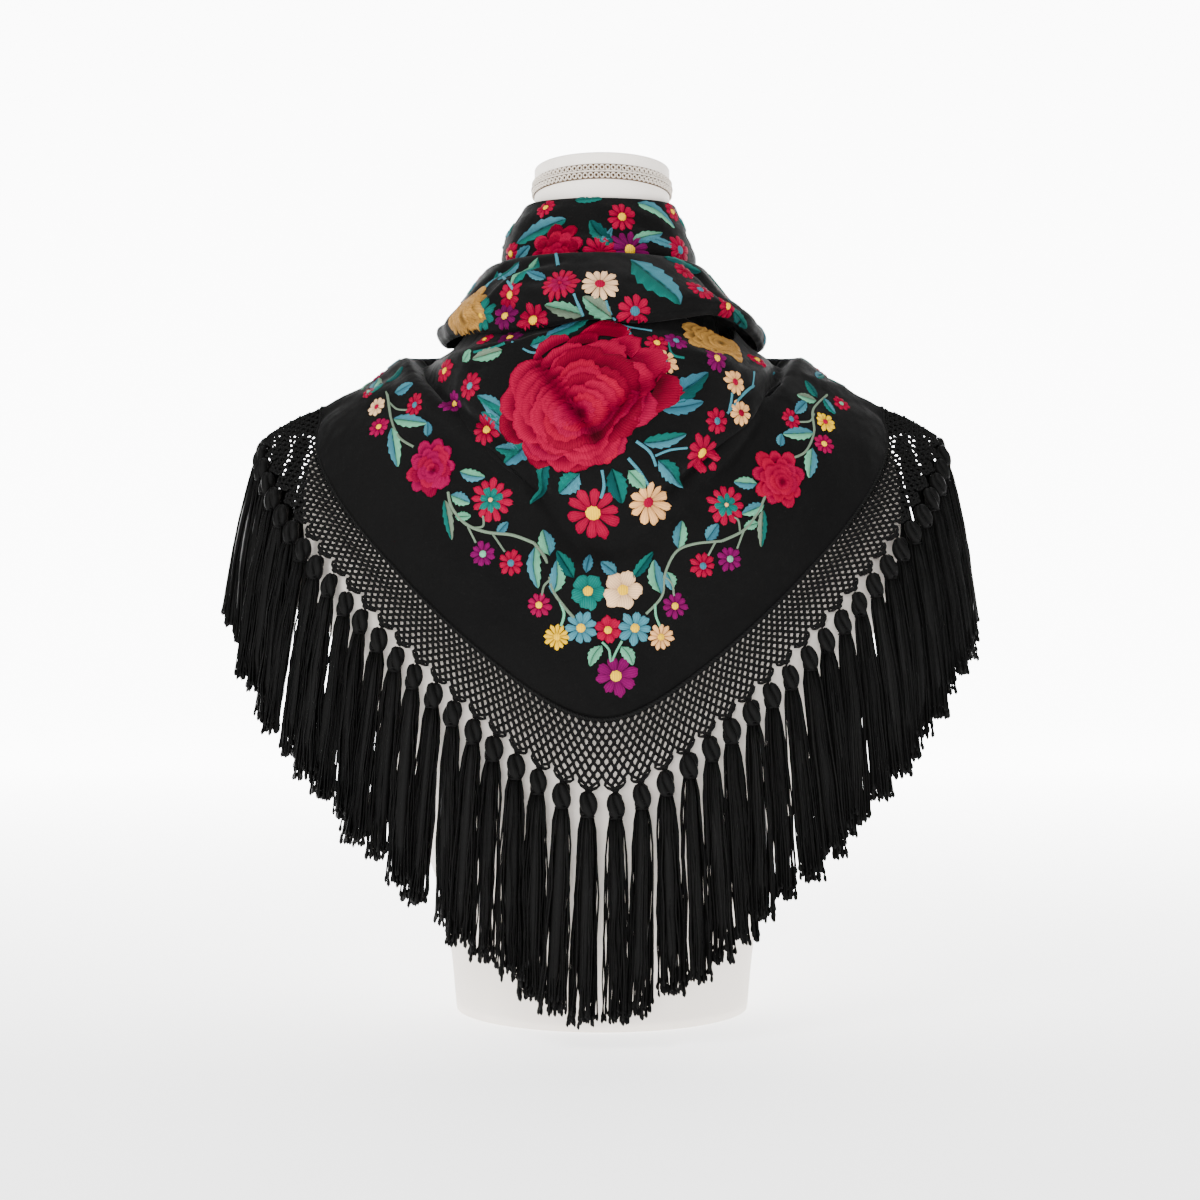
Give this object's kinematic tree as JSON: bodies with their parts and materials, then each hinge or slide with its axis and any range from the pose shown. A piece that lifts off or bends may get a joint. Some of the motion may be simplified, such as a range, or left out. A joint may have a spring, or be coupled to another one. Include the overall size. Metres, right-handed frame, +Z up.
{
  "type": "flamenco shawl on a limbless dress form",
  "caption": "Black embroidered shawl with knotted lace and tassel fringe, point to the front and wound round the neck of a limbless dress form that stands on its flat base.",
  "frame": {"origin": "centre of the flat base of the dress form", "axes": "+Z up, front of the form towards -Y, wearer's left towards +X"},
  "size_m": [0.6058, 0.2803, 0.6803],
  "materials": {
    "black_crepe": "matte crepe with a soft sheen and raised floral silk embroidery",
    "black_lace_cord": "hand-knotted net of twisted cord",
    "black_fringe": "tassels of twisted silky strands",
    "form_linen": "smooth off-white linen cover",
    "cream_braid": "cream chain braid"
  },
  "bodies": {
    "root": {"form_body": "form_linen", "form_neck_cap": "form_linen", "form_braid_upper": "cream_braid", "form_braid_lower": "cream_braid", "shawl_front": "black_crepe", "shawl_back_left": "black_crepe", "shawl_back_right": "black_crepe", "wrap_upper": "black_crepe", "wrap_lower": "black_crepe", "wrap_inner": "black_crepe", "lace_front_left": "black_lace_cord", "lace_front_right": "black_lace_cord", "lace_back_left": "black_lace_cord", "lace_back_right": "black_lace_cord", "fringe_front_left": "black_fringe", "fringe_front_right": "black_fringe", "fringe_side_left": "black_fringe", "fringe_side_right": "black_fringe", "fringe_back_left": "black_fringe", "fringe_back_right": "black_fringe"}
  },
  "joints": []
}
